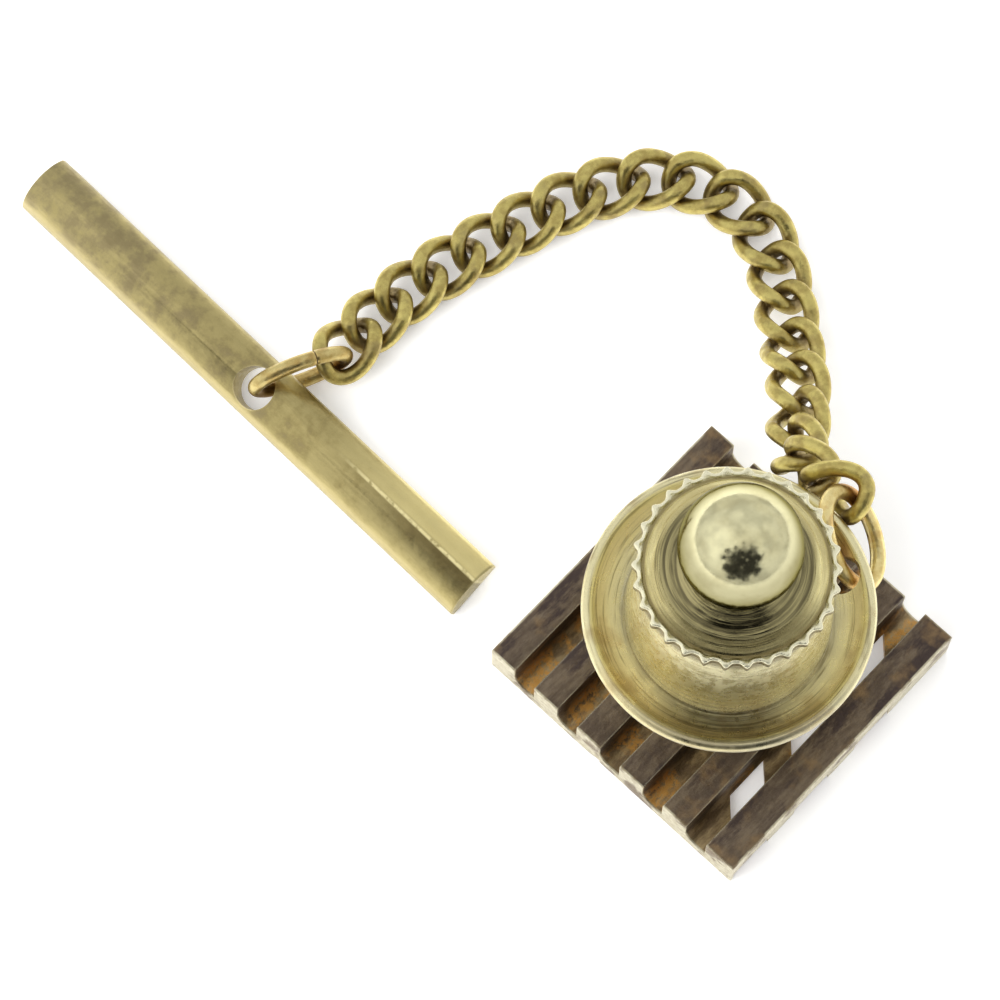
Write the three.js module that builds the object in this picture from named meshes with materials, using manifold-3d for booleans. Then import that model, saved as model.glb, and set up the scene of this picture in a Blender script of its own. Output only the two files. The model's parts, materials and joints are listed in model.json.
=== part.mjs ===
// Tie tack with a ball-lock clutch, a curb chain and a T-bar.
// Millimetres, +Z up. The tack lies on its ornament's front face, with its pin pointing up.
// Origin: the centre of the ornament's front face. +X runs along the ribs and +Y across them.
import * as THREE from 'three';
import { mergeVertices } from 'three/addons/utils/BufferGeometryUtils.js';
import Module from 'manifold-3d';

const wasm = await Module();
wasm.setup();

// ---------- driving dimensions ----------
// ornament: a square casting with six ribs on its back
const PLATE_SIDE = 12.46;
const PLATE_THICK = 2.0;
const SKIN_THICK = 0.55;
const RIB_COUNT = 6;
const RIB_PITCH = 2.22;
const RIB_WIDTH = 1.2;
const GROOVE_FILLET = 0.6;
const SLOT_WIDTH = 1.36;
const SLOT_PITCH = 2.44;
const SLOT_COUNT = 3;
const SLOT_REACH = 3.5;
const SLOT_SHIFT = -1.65;
const SLOT_TOP_Z = 0.68;
const FLUTE_DEPTH = 0.18;
const FLUTE_RADIUS = 0.5;
const FLUTE_LENGTH = 5.2;
const FLUTE_PITCH = 1.9;
const FLUTE_MIDDLE = { x: -0.6, y: 2.4 };

// pin
const PAD_RADIUS = 2.4;
const PAD_THICK = 0.4;
const PIN_RADIUS = 0.53;
const PIN_LENGTH = 9.6;
const PIN_POINT = 1.1;
const PIN_GROOVE_DEPTH = 0.08;
const PIN_GROOVES = [1.6, 0.6];
const PAD_CHAMFER = { width: 0.5, height: 0.2 };
const PIN_BASE_Z = PLATE_THICK + PAD_THICK;

// clutch, measured up from the ornament's front face
const FLANGE_RADIUS = 5.5;
const BEAD_RADIUS = 0.27;
const SHEET = 0.26;
const BUSH_BORE = PIN_RADIUS + 0.04;
const BUSH_RADIUS = 0.69;
const BUSH_HEAD = { radius: 1.1, thick: 0.24, gap: 0.06 };
const FLANGE_BORE = 0.73;
const WEDGE_BORE = 0.74;
const FLOOR_Z = 6.23;
const RIM_Z = 6.97;
const VALLEY_RADIUS = 3.95;
const RING_HOLE_RADIUS = 0.62;
const RING_HOLE_AT = 4.42;
const RING_HOLE_ANGLE = -29;
const BARREL_FOOT_RADIUS = 3.88;
const BARREL_TOP_RADIUS = 3.56;
const BARREL_WALL = 0.33;
const BARREL_TOP_Z = 12.0;
const CAP_THICK = 0.42;
const CAP_RADIUS = 3.66;
const SCALLOP_DEPTH = 0.11;
const SCALLOP_COUNT = 30;
const NECK_RADIUS = 2.56;
const NECK_CLEARANCE = 0.1;
const KNOB_RADIUS = 2.26;
const KNOB_Z = 14.96;
const KNOB_WAIST = 1.3;
const KNOB_BORE = 0.75;
const NECK_RISE = 0.08;

// lock inside the barrel
const BALL_RADIUS = 0.6;
const BALL_COUNT = 3;
const BALL_Z = 8.3;
const BALL_OFFSET = PIN_RADIUS + BALL_RADIUS + 0.02;
const WEDGE_SLOPE = 0.3;
const WEDGE_RADIUS_AT_BALL = 1.83;
const WEDGE_TOP_Z = 9.0;
const WEDGE_OUTER = 3.05;
const CAGE_BORE = 0.62;
const CAGE_OUTER = 1.36;
const CAGE_BOTTOM_Z = 7.55;
const CAGE_TOP_Z = 12.3;
const BALL_WINDOW_RADIUS = BALL_RADIUS + 0.06;
const COLLAR_RADIUS = 3.05;
const COLLAR_Z = 9.3;
const COLLAR_THICK = 0.3;
const SPRING_RADIUS = 2.87;
const SPRING_WIRE = 0.15;
const SPRING_TURNS = 3.5;
const SPIGOT_DEPTH = 0.3;

// chain
const LINK_HALF_LENGTH = 1.285;
const LINK_HALF_WIDTH = 0.98;
const LINK_SQUARENESS = 0.18;
const LINK_TWIST = -Math.PI / 4;
const LINK_WIRE = 0.325;
const LINK_PITCH = 1.82;
const LINK_COUNT = 20;
const FIRST_ROLLS = [-67, -61, -51, -24];

// jump rings and T-bar
const RING_WIRE = 0.33;
const RING_HALF_LENGTH = 1.88;
const CLUTCH_RING_HALF_WIDTH = 1.15;
const BAR_RING_HALF_WIDTH = 1.06;
const BAR_LENGTH = 24.1;
const BAR_WIDTH = 2.5;
const BAR_EDGE = 0.35;
const BAR_CROWN = 0.8;
const BAR_HOLE_RADIUS = 0.8;
const BAR_ROLL = -21;
const BAR_HEADING = -1.2;
const BAR_LIFT = 0.15;
const BAR_HOLE_SHIFT = -0.3;
const BAR_CENTRE = new THREE.Vector3(-4.4, 20.66, 0);

// route of the chain's centre line, from the clutch ring down to the table and round to the T-bar
const CHAIN_ROUTE = [
  [6.37, -0.62, 7.36],
  [6.13, 0.93, 6.42],
  [6.62, 2.26, 5.29],
  [7.52, 3.13, 3.97],
  [8.86, 4.08, 3.19],
  [10.04, 5.31, 2.55],
  [10.76, 6.16, 1.95],
  [11.72, 7.2, 1.5],
  [12.81, 8.51, 1.1],
  [13.71, 9.85, 0.84],
  [14.18, 11.16, 0.75],
  [14.16, 12.48, 0.75],
  [13.8, 13.63, 0.75],
  [12.96, 15.01, 0.75],
  [11.75, 15.89, 0.75],
  [9.57, 17.05, 0.75],
  [7.17, 17.79, 0.75],
  [4.51, 18.58, 0.75],
  [2.82, 18.94, 0.77],
  [1.3, 19.12, 0.85],
  [-0.3, 19.1, 1.02],
  [-1.87, 18.93, 1.36],
  [-3.5, 18.6, 1.5],
].map(([x, y, z]) => new THREE.Vector3(x, y, z));

// ---------- materials ----------
function metal(colour, roughness) {
  return new THREE.MeshStandardMaterial({ color: colour, roughness, metalness: 0.95 });
}
const FINISH = {
  casting: metal(0x6e5c4b, 0.45),
  pin: metal(0xc9c6bd, 0.3),
  gold: metal(0xd8c98c, 0.28),
  knob: metal(0xd9dac3, 0.12),
  steel: metal(0xb9bcc0, 0.3),
  chain: metal(0xb79f5c, 0.4),
  bar: metal(0xb4a878, 0.35),
};

// ---------- helpers ----------
const object = new THREE.Group();

function place(name, geometry, finish, parent = object) {
  const mesh = new THREE.Mesh(geometry, FINISH[finish].clone());
  mesh.name = name;
  parent.add(mesh);
  return mesh;
}

function toSolid(geometry) {
  const bare = geometry.clone();
  bare.deleteAttribute('normal');
  bare.deleteAttribute('uv');
  const welded = mergeVertices(bare, 1e-5);
  return new wasm.Manifold(new wasm.Mesh({
    numProp: 3,
    vertProperties: new Float32Array(welded.attributes.position.array),
    triVerts: new Uint32Array(welded.index.array),
  }));
}

function toGeometry(solid) {
  const mesh = solid.getMesh();
  const geometry = new THREE.BufferGeometry();
  geometry.setAttribute('position', new THREE.BufferAttribute(mesh.vertProperties, 3));
  geometry.setIndex(new THREE.BufferAttribute(mesh.triVerts, 1));
  geometry.computeVertexNormals();
  return geometry;
}

function cut(geometry, tools) {
  let solid = toSolid(geometry);
  for (const tool of tools) {
    solid = solid.subtract(toSolid(tool));
  }
  return toGeometry(solid);
}

function join(geometries) {
  let solid = toSolid(geometries[0]);
  for (const geometry of geometries.slice(1)) {
    solid = solid.add(toSolid(geometry));
  }
  return toGeometry(solid);
}

// A turned piece: the profile's [radius, z] points run anticlockwise round the section.
function turned(profile, segments = 32) {
  const points = profile.map(([r, z]) => new THREE.Vector2(r, z));
  const onAxis = profile[0][0] === 0;
  if (!onAxis) {
    points.push(points[0].clone());
  }
  return new THREE.LatheGeometry(points, segments).rotateX(Math.PI / 2);
}

function arc(centreR, centreZ, radius, fromDeg, toDeg, steps) {
  const points = [];
  for (let i = 0; i <= steps; i += 1) {
    const a = THREE.MathUtils.degToRad(fromDeg + ((toDeg - fromDeg) * i) / steps);
    points.push([centreR + radius * Math.cos(a), centreZ + radius * Math.sin(a)]);
  }
  return points;
}

function drill(radius, length, segments = 16) {
  return new THREE.CylinderGeometry(radius, radius, length, segments).rotateX(Math.PI / 2);
}

// A closed wire loop: an oval whose ends may be squared and twisted out of its plane.
class WireLoop extends THREE.Curve {
  constructor(halfLength, halfWidth, squareness = 0, twist = 0) {
    super();
    Object.assign(this, { halfLength, halfWidth, squareness, twist });
  }

  getPoint(t, target = new THREE.Vector3()) {
    const a = t * Math.PI * 2;
    const power = 1 - this.squareness;
    const x = this.halfLength * Math.sign(Math.cos(a)) * Math.abs(Math.cos(a)) ** power;
    const y = this.halfWidth * Math.sign(Math.sin(a)) * Math.abs(Math.sin(a)) ** power;
    const lean = (this.twist * x) / this.halfLength;
    return target.set(x, y * Math.cos(lean), y * Math.sin(lean));
  }
}

function wireLoop(loop, wireRadius, steps, sides) {
  return new THREE.TubeGeometry(loop, steps, wireRadius, sides, true);
}

// Turns a mesh so that its own X runs along u and its own Y lies nearest to v.
function aim(mesh, centre, u, v) {
  const x = u.clone().normalize();
  const z = x.clone().cross(v).normalize();
  const y = z.clone().cross(x);
  mesh.position.copy(centre);
  mesh.setRotationFromMatrix(new THREE.Matrix4().makeBasis(x, y, z));
}

// ---------- ornament ----------
function ribbedSection() {
  const half = PLATE_SIDE / 2;
  const shape = new THREE.Shape();
  shape.moveTo(-half, 0);
  shape.lineTo(half, 0);
  shape.lineTo(half, PLATE_THICK);
  for (let i = 0; i < RIB_COUNT - 1; i += 1) {
    const ribEnd = half - i * RIB_PITCH - RIB_WIDTH;
    const nextRib = half - (i + 1) * RIB_PITCH;
    const centreY = ribEnd - GROOVE_FILLET;
    const centreZ = SKIN_THICK + GROOVE_FILLET;
    shape.lineTo(ribEnd, PLATE_THICK);
    shape.lineTo(ribEnd, centreZ);
    shape.absarc(centreY, centreZ, GROOVE_FILLET, 0, -Math.PI / 2, true);
    shape.lineTo(nextRib, SKIN_THICK);
    shape.lineTo(nextRib, PLATE_THICK);
  }
  shape.lineTo(-half, PLATE_THICK);
  shape.closePath();
  return shape;
}

function diagonalBar(width, length, height) {
  return new THREE.BoxGeometry(length, width, height).rotateZ(Math.PI / 4);
}

// Slots through the front skin and just into the groove fillets, at 45 degrees to the ribs,
// open at the plate's -Y side.
function frontSlots() {
  const half = PLATE_SIDE / 2;
  const length = 2 * SLOT_REACH * Math.SQRT2;
  const tools = [];
  for (let i = 0; i < SLOT_COUNT; i += 1) {
    const x = SLOT_SHIFT + (i - (SLOT_COUNT - 1) / 2) * SLOT_PITCH * Math.SQRT2;
    const slot = diagonalBar(SLOT_WIDTH, length, 2 * SLOT_TOP_Z);
    tools.push(slot.translate(x, -half, 0));
  }
  return tools;
}

// Shallow V flutes beside the middle of the front face.
function frontFlutes() {
  const offsets = [-2, -1, 1, 2];
  return offsets.map((n) => {
    const flute = new THREE.CylinderGeometry(FLUTE_RADIUS, FLUTE_RADIUS, FLUTE_LENGTH, 6);
    flute.rotateZ(-Math.PI / 4);
    const drop = FLUTE_DEPTH - FLUTE_RADIUS * Math.cos(Math.PI / 6);
    return flute.translate(n * FLUTE_PITCH + FLUTE_MIDDLE.x, FLUTE_MIDDLE.y, drop);
  });
}

function ornament() {
  const body = new THREE.ExtrudeGeometry(ribbedSection(), {
    depth: PLATE_SIDE,
    bevelEnabled: false,
    curveSegments: 4,
  });
  // the section's X becomes +Y, its Y becomes +Z and the extrusion runs along +X
  body.applyMatrix4(new THREE.Matrix4().makeBasis(
    new THREE.Vector3(0, 1, 0),
    new THREE.Vector3(0, 0, 1),
    new THREE.Vector3(1, 0, 0),
  ));
  body.translate(-PLATE_SIDE / 2, 0, 0);
  return cut(body, [...frontSlots(), ...frontFlutes()]);
}

function pinPad() {
  return turned([
    [0, PLATE_THICK],
    [PAD_RADIUS, PLATE_THICK],
    [PAD_RADIUS, PIN_BASE_Z - PAD_CHAMFER.height],
    [PAD_RADIUS - PAD_CHAMFER.width, PIN_BASE_Z],
    [0, PIN_BASE_Z],
  ]);
}

function tackPin() {
  const tip = PIN_BASE_Z + PIN_LENGTH;
  const shoulder = tip - PIN_POINT;
  const groove = (z) => [
    [PIN_RADIUS, z - 0.15],
    [PIN_RADIUS - PIN_GROOVE_DEPTH, z - 0.07],
    [PIN_RADIUS - PIN_GROOVE_DEPTH, z + 0.07],
    [PIN_RADIUS, z + 0.15],
  ];
  return turned([
    [0, PIN_BASE_Z],
    [PIN_RADIUS, PIN_BASE_Z],
    ...PIN_GROOVES.flatMap((drop) => groove(shoulder - drop)),
    [PIN_RADIUS, shoulder],
    [PIN_RADIUS * 0.3, tip - 0.2],
    [0, tip],
  ], 16);
}

// ---------- clutch ----------
function pinBush() {
  const headTop = FLOOR_Z - BUSH_HEAD.gap;
  const headFoot = headTop - BUSH_HEAD.thick;
  return turned([
    [BUSH_BORE, headFoot],
    [BUSH_HEAD.radius, headFoot],
    [BUSH_HEAD.radius, headTop],
    [BUSH_RADIUS, headTop],
    [BUSH_RADIUS, FLOOR_Z + SHEET],
    [BUSH_BORE, FLOOR_Z + SHEET],
  ], 24);
}

function flangeDish() {
  const beadR = FLANGE_RADIUS - BEAD_RADIUS;
  const dishR = beadR - BEAD_RADIUS * 0.8;
  const dishZ = RIM_Z - SHEET / 2 - 0.05;
  const disc = turned([
    [FLANGE_BORE, FLOOR_Z],
    [VALLEY_RADIUS, FLOOR_Z],
    [dishR, dishZ - SHEET / 2],
    ...arc(beadR, RIM_Z, BEAD_RADIUS, -135, 150, 8),
    [dishR - 0.2, dishZ + SHEET / 2],
    [VALLEY_RADIUS, FLOOR_Z + SHEET],
    [FLANGE_BORE, FLOOR_Z + SHEET],
  ], 40);
  const angle = THREE.MathUtils.degToRad(RING_HOLE_ANGLE);
  const hole = drill(RING_HOLE_RADIUS, 3, 20);
  hole.translate(RING_HOLE_AT * Math.cos(angle), RING_HOLE_AT * Math.sin(angle), RIM_Z);
  return cut(disc, [hole]);
}

function barrel() {
  const foot = FLOOR_Z + SHEET;
  return turned([
    [BARREL_FOOT_RADIUS - BARREL_WALL, foot],
    [BARREL_FOOT_RADIUS, foot],
    [BARREL_FOOT_RADIUS, foot + 0.25],
    [BARREL_TOP_RADIUS, BARREL_TOP_Z],
    [BARREL_TOP_RADIUS - BARREL_WALL, BARREL_TOP_Z],
  ], 40);
}

function scallopedCap() {
  const outline = new THREE.Shape();
  const steps = SCALLOP_COUNT * 4;
  for (let i = 0; i < steps; i += 1) {
    const a = (i / steps) * Math.PI * 2;
    const r = CAP_RADIUS + SCALLOP_DEPTH * 0.5 * Math.cos(SCALLOP_COUNT * a);
    outline[i ? 'lineTo' : 'moveTo'](r * Math.cos(a), r * Math.sin(a));
  }
  outline.closePath();
  const opening = NECK_RADIUS + NECK_CLEARANCE;
  const disc = new THREE.ExtrudeGeometry(outline, { depth: CAP_THICK, bevelEnabled: false });
  disc.translate(0, 0, BARREL_TOP_Z);
  const spigotOuter = BARREL_TOP_RADIUS - BARREL_WALL - 0.05;
  const spigot = turned([
    [opening, BARREL_TOP_Z - SPIGOT_DEPTH],
    [spigotOuter, BARREL_TOP_Z - SPIGOT_DEPTH],
    [spigotOuter, BARREL_TOP_Z + 0.1],
    [opening, BARREL_TOP_Z + 0.1],
  ]);
  const bore = drill(opening, 2, 32).translate(0, 0, BARREL_TOP_Z);
  return join([cut(disc, [bore]), spigot]);
}

function knob() {
  const skirtZ = COLLAR_Z + COLLAR_THICK;
  const capTop = BARREL_TOP_Z + CAP_THICK;
  const waist = Math.asin(KNOB_WAIST / KNOB_RADIUS);
  const waistDeg = THREE.MathUtils.radToDeg(waist) - 90;
  const boreR = CAGE_OUTER + 0.05;
  return turned([
    [0, KNOB_Z + KNOB_RADIUS - 0.9],
    [KNOB_BORE, KNOB_Z + KNOB_RADIUS - 1.3],
    [KNOB_BORE, CAGE_TOP_Z + 0.7],
    [boreR, CAGE_TOP_Z + 0.15],
    [boreR, skirtZ],
    [NECK_RADIUS, skirtZ],
    [NECK_RADIUS, capTop + NECK_RISE],
    ...arc(0, KNOB_Z, KNOB_RADIUS, waistDeg, 90, 12).slice(0, -1),
    [0, KNOB_Z + KNOB_RADIUS],
  ], 36);
}

function wedgeCone() {
  const radiusAt = (z) => WEDGE_RADIUS_AT_BALL + WEDGE_SLOPE * (z - BALL_Z);
  const foot = FLOOR_Z + SHEET;
  const pocket = CAGE_BOTTOM_Z - 0.25;
  return turned([
    [WEDGE_BORE, foot],
    [WEDGE_OUTER, foot],
    [WEDGE_OUTER, WEDGE_TOP_Z],
    [radiusAt(WEDGE_TOP_Z), WEDGE_TOP_Z],
    [radiusAt(pocket), pocket],
    [WEDGE_BORE, pocket],
  ]);
}

function ballAngle(i) {
  return (i * Math.PI * 2) / BALL_COUNT;
}

function ballCage() {
  const tube = turned([
    [CAGE_BORE, CAGE_BOTTOM_Z],
    [CAGE_OUTER, CAGE_BOTTOM_Z],
    [CAGE_OUTER, COLLAR_Z],
    [COLLAR_RADIUS, COLLAR_Z],
    [COLLAR_RADIUS, COLLAR_Z + COLLAR_THICK],
    [CAGE_OUTER, COLLAR_Z + COLLAR_THICK],
    [CAGE_OUTER, CAGE_TOP_Z],
    [CAGE_BORE, CAGE_TOP_Z],
  ], 24);
  const windows = [];
  for (let i = 0; i < BALL_COUNT; i += 1) {
    const window = new THREE.CylinderGeometry(BALL_WINDOW_RADIUS, BALL_WINDOW_RADIUS, 2, 20);
    window.rotateZ(Math.PI / 2);
    window.translate(1.2, 0, 0);
    window.rotateZ(ballAngle(i));
    windows.push(window.translate(0, 0, BALL_Z));
  }
  return cut(tube, windows);
}

class Helix extends THREE.Curve {
  getPoint(t, target = new THREE.Vector3()) {
    const a = t * SPRING_TURNS * Math.PI * 2;
    const low = COLLAR_Z + COLLAR_THICK + SPRING_WIRE + 0.03;
    const high = BARREL_TOP_Z - SPIGOT_DEPTH - SPRING_WIRE - 0.03;
    return target.set(SPRING_RADIUS * Math.cos(a), SPRING_RADIUS * Math.sin(a), low + (high - low) * t);
  }
}

function returnSpring() {
  const section = new THREE.Shape();
  section.absarc(0, 0, SPRING_WIRE, 0, Math.PI * 2);
  return new THREE.ExtrudeGeometry(section, {
    steps: Math.round(SPRING_TURNS * 14),
    curveSegments: 3,
    extrudePath: new Helix(),
  });
}

// ---------- chain ----------
// Points one pitch apart along the route: each is where two links hang in each other.
function chainPivots() {
  const route = new THREE.CatmullRomCurve3(CHAIN_ROUTE, false, 'centripetal');
  const fine = route.getPoints(4000);
  const pivots = [fine[0]];
  for (const point of fine) {
    const last = pivots[pivots.length - 1];
    if (pivots.length <= LINK_COUNT && point.distanceTo(last) >= LINK_PITCH) {
      pivots.push(point);
    }
  }
  return pivots;
}

// Links lie flat along the route, but the first few are rolled about their own length where
// the chain drops over the clutch's rim.
function chain() {
  const pivots = chainPivots();
  const loop = new WireLoop(LINK_HALF_LENGTH, LINK_HALF_WIDTH, LINK_SQUARENESS, LINK_TWIST);
  const geometry = wireLoop(loop, LINK_WIRE, 18, 6);
  const up = new THREE.Vector3(0, 0, 1);
  for (let i = 0; i < LINK_COUNT; i += 1) {
    const along = pivots[i + 1].clone().sub(pivots[i]);
    const middle = pivots[i].clone().lerp(pivots[i + 1], 0.5);
    const side = up.clone().cross(along);
    const name = `chain_link_${String(i + 1).padStart(2, '0')}`;
    const link = place(name, geometry.clone(), 'chain');
    aim(link, middle, along, side);
    link.rotateX(THREE.MathUtils.degToRad(FIRST_ROLLS[i] ?? 0));
  }
}

function jumpRing(name, halfWidth, centre, u, v) {
  const loop = new WireLoop(RING_HALF_LENGTH, halfWidth);
  const geometry = wireLoop(loop, RING_WIRE, 22, 8);
  aim(place(name, geometry, 'chain'), centre, u, v);
}

// ---------- T-bar ----------
function barSection() {
  const half = BAR_WIDTH / 2;
  const radius = (half * half + BAR_CROWN * BAR_CROWN) / (2 * BAR_CROWN);
  const sweep = Math.asin(half / radius);
  const shape = new THREE.Shape();
  shape.moveTo(-half, 0);
  shape.lineTo(half, 0);
  shape.lineTo(half, BAR_EDGE);
  const centreZ = BAR_EDGE + BAR_CROWN - radius;
  shape.absarc(0, centreZ, radius, Math.PI / 2 - sweep, Math.PI / 2 + sweep, false);
  shape.closePath();
  return shape;
}

function tBar() {
  const body = new THREE.ExtrudeGeometry(barSection(), {
    depth: BAR_LENGTH,
    bevelEnabled: false,
    curveSegments: 10,
  });
  // the section stands in the XZ plane and the bar runs along Y
  body.rotateX(Math.PI / 2);
  body.translate(0, BAR_LENGTH / 2, 0);
  const hole = drill(BAR_HOLE_RADIUS, 4, 24).translate(0, BAR_HOLE_SHIFT, 0);
  const geometry = cut(body, [hole]);
  const mesh = place('t_bar', geometry, 'bar');
  const roll = THREE.MathUtils.degToRad(BAR_ROLL);
  mesh.rotation.set(0, roll, THREE.MathUtils.degToRad(BAR_HEADING), 'ZYX');
  mesh.position.copy(BAR_CENTRE);
  mesh.position.z = (BAR_WIDTH / 2) * Math.sin(-roll) + BAR_LIFT;
}

// ---------- assembly ----------
place('front_plate', ornament(), 'casting');
place('pin_pad', pinPad(), 'casting');
place('tack_pin', tackPin(), 'pin');
place('pin_bush', pinBush(), 'steel');
place('clutch_flange', flangeDish(), 'gold');
place('clutch_barrel', barrel(), 'gold');
place('barrel_cap', scallopedCap(), 'gold');
place('wedge_cone', wedgeCone(), 'steel');
place('knob', knob(), 'knob');
place('ball_cage', ballCage(), 'steel');
place('return_spring', returnSpring(), 'steel');
for (let i = 0; i < BALL_COUNT; i += 1) {
  const ball = place(`lock_ball_${i + 1}`, new THREE.SphereGeometry(BALL_RADIUS, 14, 9), 'steel');
  const a = ballAngle(i);
  ball.position.set(BALL_OFFSET * Math.cos(a), BALL_OFFSET * Math.sin(a), BALL_Z);
}
jumpRing(
  'clutch_ring',
  CLUTCH_RING_HALF_WIDTH,
  new THREE.Vector3(5.204, -1.481, 6.75),
  new THREE.Vector3(0.315, 0.805, 0.502),
  new THREE.Vector3(0.901, -0.087, -0.426),
);
chain();
jumpRing(
  'bar_ring',
  BAR_RING_HALF_WIDTH,
  new THREE.Vector3(-3.03, 19.54, 1.44),
  new THREE.Vector3(0.9, -0.438, 0),
  new THREE.Vector3(0, 0, 1),
);
tBar();

export default object;
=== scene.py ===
"""Tie tack with a ball-lock clutch, a curb chain and a T-bar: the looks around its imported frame.

Lengths below are in millimetres, in the row frame; MM turns them into metres.
"""

import json
import math

import bmesh
import bpy
import numpy as np
from mathutils import Matrix, Vector


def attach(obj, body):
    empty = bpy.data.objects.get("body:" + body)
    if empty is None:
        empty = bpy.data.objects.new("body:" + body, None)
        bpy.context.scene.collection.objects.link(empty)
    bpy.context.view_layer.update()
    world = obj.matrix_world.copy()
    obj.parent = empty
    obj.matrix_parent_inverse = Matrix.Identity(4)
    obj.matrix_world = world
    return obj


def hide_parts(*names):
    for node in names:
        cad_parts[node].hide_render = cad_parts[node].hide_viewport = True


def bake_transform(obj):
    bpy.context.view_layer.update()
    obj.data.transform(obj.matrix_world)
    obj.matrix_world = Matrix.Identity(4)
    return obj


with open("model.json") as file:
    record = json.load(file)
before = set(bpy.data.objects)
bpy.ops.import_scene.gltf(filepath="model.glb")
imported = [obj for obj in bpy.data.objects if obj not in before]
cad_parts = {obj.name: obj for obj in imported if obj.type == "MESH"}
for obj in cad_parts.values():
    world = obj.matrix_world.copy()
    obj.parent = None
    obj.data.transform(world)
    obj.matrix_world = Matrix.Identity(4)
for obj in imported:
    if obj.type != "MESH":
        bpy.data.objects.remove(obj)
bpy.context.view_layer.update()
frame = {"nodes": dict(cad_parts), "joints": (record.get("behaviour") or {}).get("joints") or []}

MM = 0.001
TAU = 2 * math.pi
SCENE = bpy.context.scene
JOINTS = {j["name"]: j for j in frame["joints"]}
LINKS = sum(1 for name in frame["nodes"] if name.startswith("chain_link_"))

# ---------- dimensions shared with the CAD ----------
# The wires are 0.01 to 0.03 thinner and the two ring holes 0.06 to 0.07 wider than the CAD's,
# so that neighbours clear each other when they swing.
PLATE_HALF = 6.23
PLATE_THICK = 2.0
SKIN_THICK = 0.55
PIN_BASE_Z = 2.4
PIN_TIP_Z = 12.0
PIN_RADIUS = 0.53
PAD_RADIUS = 2.4

FLANGE_RADIUS = 5.5
BEAD_RADIUS = 0.26
SHEET = 0.26
FLOOR_Z = 6.23
RIM_Z = 6.97
VALLEY_RADIUS = 3.95
FLANGE_BORE = 0.73
RING_HOLE_RADIUS = 0.69
RING_HOLE_AT = 4.42
RING_HOLE_ANGLE = math.radians(-29)

BARREL_FOOT_RADIUS = 3.88
BARREL_TOP_RADIUS = 3.56
BARREL_WALL = 0.33
BARREL_BAND = 0.25
BARREL_TOP_Z = 12.0
CAP_TOP_Z = 12.42
CAP_RADIUS = 3.66
CAP_OPENING = 2.66
SPIGOT_DEPTH = 0.3
SCALLOPS = 30
SCALLOP_DEPTH = 0.11
NECK_RADIUS = 2.56
KNOB_RADIUS = 2.26
KNOB_Z = 14.96
KNOB_WAIST = 1.3
KNOB_TOP_Z = KNOB_Z + KNOB_RADIUS
CAGE_RADIUS = 1.36

SPRING_RADIUS = 2.87
SPRING_WIRE = 0.15
SPRING_TURNS = 3.5
SPRING_LOW_Z = 9.78
SPRING_HIGH_Z = 11.52

LINK_HALF_LENGTH = 1.285
LINK_HALF_WIDTH = 0.98
LINK_SQUARENESS = 0.18
LINK_TWIST = -math.pi / 4
LINK_WIRE = 0.316
LINK_FLAT = 0.65
FIRST_ROLLS = (-67, -61, -51, -24)

RING_WIRE = 0.3
RING_HALF_LENGTH = 1.88
CLUTCH_RING = {
    "half_width": 1.15,
    "centre": (5.204, -1.481, 6.75),
    "u": (0.315, 0.805, 0.502),
    "v": (0.901, -0.087, -0.426),
}
BAR_RING = {
    "half_width": 1.06,
    "centre": (-3.03, 19.54, 1.46),
    "u": (0.9, -0.438, 0.0),
    "v": (0.0, 0.0, 1.0),
}

BAR_LENGTH = 24.1
BAR_WIDTH = 2.5
BAR_EDGE = 0.35
BAR_CROWN = 0.8
BAR_HOLE_RADIUS = 0.86
BAR_HOLE_SHIFT = -0.3
BAR_ROLL = math.radians(-21)
BAR_HEADING = math.radians(-1.2)
BAR_LIFT = 0.15
BAR_CENTRE = (-4.4, 20.66)
BAR_NEAR_END = BAR_CENTRE[1] - BAR_LENGTH / 2
BAR_BASE_Z = 0.5 * BAR_WIDTH * math.sin(-BAR_ROLL) + BAR_LIFT


# ---------- camera ----------
def make_camera():
    """The photo's camera, above the tack and a little tilted."""
    data = bpy.data.cameras.new("camera")
    data.sensor_width = 36
    data.lens = 147.1
    data.clip_start = 0.01
    data.clip_end = 10
    camera = bpy.data.objects.new("camera", data)
    SCENE.collection.objects.link(camera)
    camera.location = Vector((-36.05, -22.32, 152.66)) * MM
    target = Vector((-1.17, 10.56, 0.0)) * MM
    camera.rotation_mode = "QUATERNION"
    camera.rotation_quaternion = (target - camera.location).to_track_quat("-Z", "Y")
    SCENE.camera = camera


make_camera()


# ---------- mesh helpers ----------
def new_piece(name, points, faces, smooth=True):
    """A piece from points in millimetres."""
    mesh = bpy.data.meshes.new(name)
    mesh.from_pydata([tuple(MM * c for c in p) for p in points], [], faces)
    mesh.polygons.foreach_set("use_smooth", [smooth] * len(mesh.polygons))
    mesh.update()
    piece = bpy.data.objects.new(name, mesh)
    SCENE.collection.objects.link(piece)
    return piece


def grid_faces(rows, columns, closed_rows, closed_columns):
    """Quads between points laid out in rows, wrapping round where a direction is closed."""
    faces = []
    for i in range(rows if closed_rows else rows - 1):
        for j in range(columns if closed_columns else columns - 1):
            a, b = i, (i + 1) % rows
            c, d = j, (j + 1) % columns
            faces.append((a * columns + c, a * columns + d, b * columns + d, b * columns + c))
    return faces


def fix_normals(piece):
    bm = bmesh.new()
    bm.from_mesh(piece.data)
    bmesh.ops.remove_doubles(bm, verts=bm.verts, dist=1e-7)
    bmesh.ops.recalc_face_normals(bm, faces=bm.faces)
    bm.to_mesh(piece.data)
    bm.free()


def apply_modifiers(piece):
    evaluated = piece.evaluated_get(bpy.context.evaluated_depsgraph_get())
    mesh = bpy.data.meshes.new_from_object(evaluated)
    piece.modifiers.clear()
    piece.data = mesh


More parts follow.
